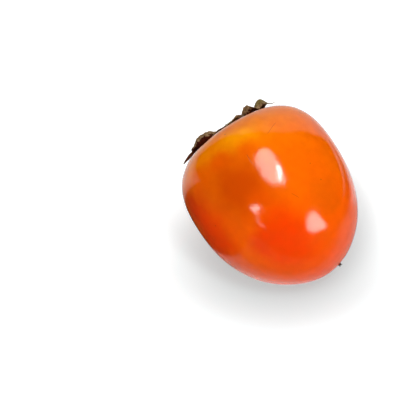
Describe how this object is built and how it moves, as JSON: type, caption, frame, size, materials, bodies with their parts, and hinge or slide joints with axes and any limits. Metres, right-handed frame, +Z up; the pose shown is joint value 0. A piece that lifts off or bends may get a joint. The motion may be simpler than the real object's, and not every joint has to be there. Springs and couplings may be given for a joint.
{
  "type": "persimmon",
  "caption": "Whole ripe persimmon lying on its side, glossy orange skin, dried leafy calyx and short stem stub at the raised end.",
  "frame": {"origin": "centre of the small flat spot that the fruit rests on", "axes": "+Z up, the fruit's own axis in the XZ plane, +X horizontally from the stem end towards the low blossom end, +Y across the fruit"},
  "size_m": [0.0865, 0.0786, 0.0827],
  "materials": {
    "skin": "waxy glossy fruit skin, orange with redder and yellower patches",
    "calyx": "dried leathery sepal, olive brown above and maroon black below",
    "stem": "dry dark bark with a pale fibrous cut end",
    "style": "dry black flower remnant"
  },
  "bodies": {
    "root": {"fruit_body": "skin", "calyx_disc": "calyx", "sepal_right": "calyx", "sepal_far": "calyx", "sepal_left": "calyx", "sepal_near": "calyx", "stem_stub": "stem", "style_tip": "style"}
  },
  "joints": []
}
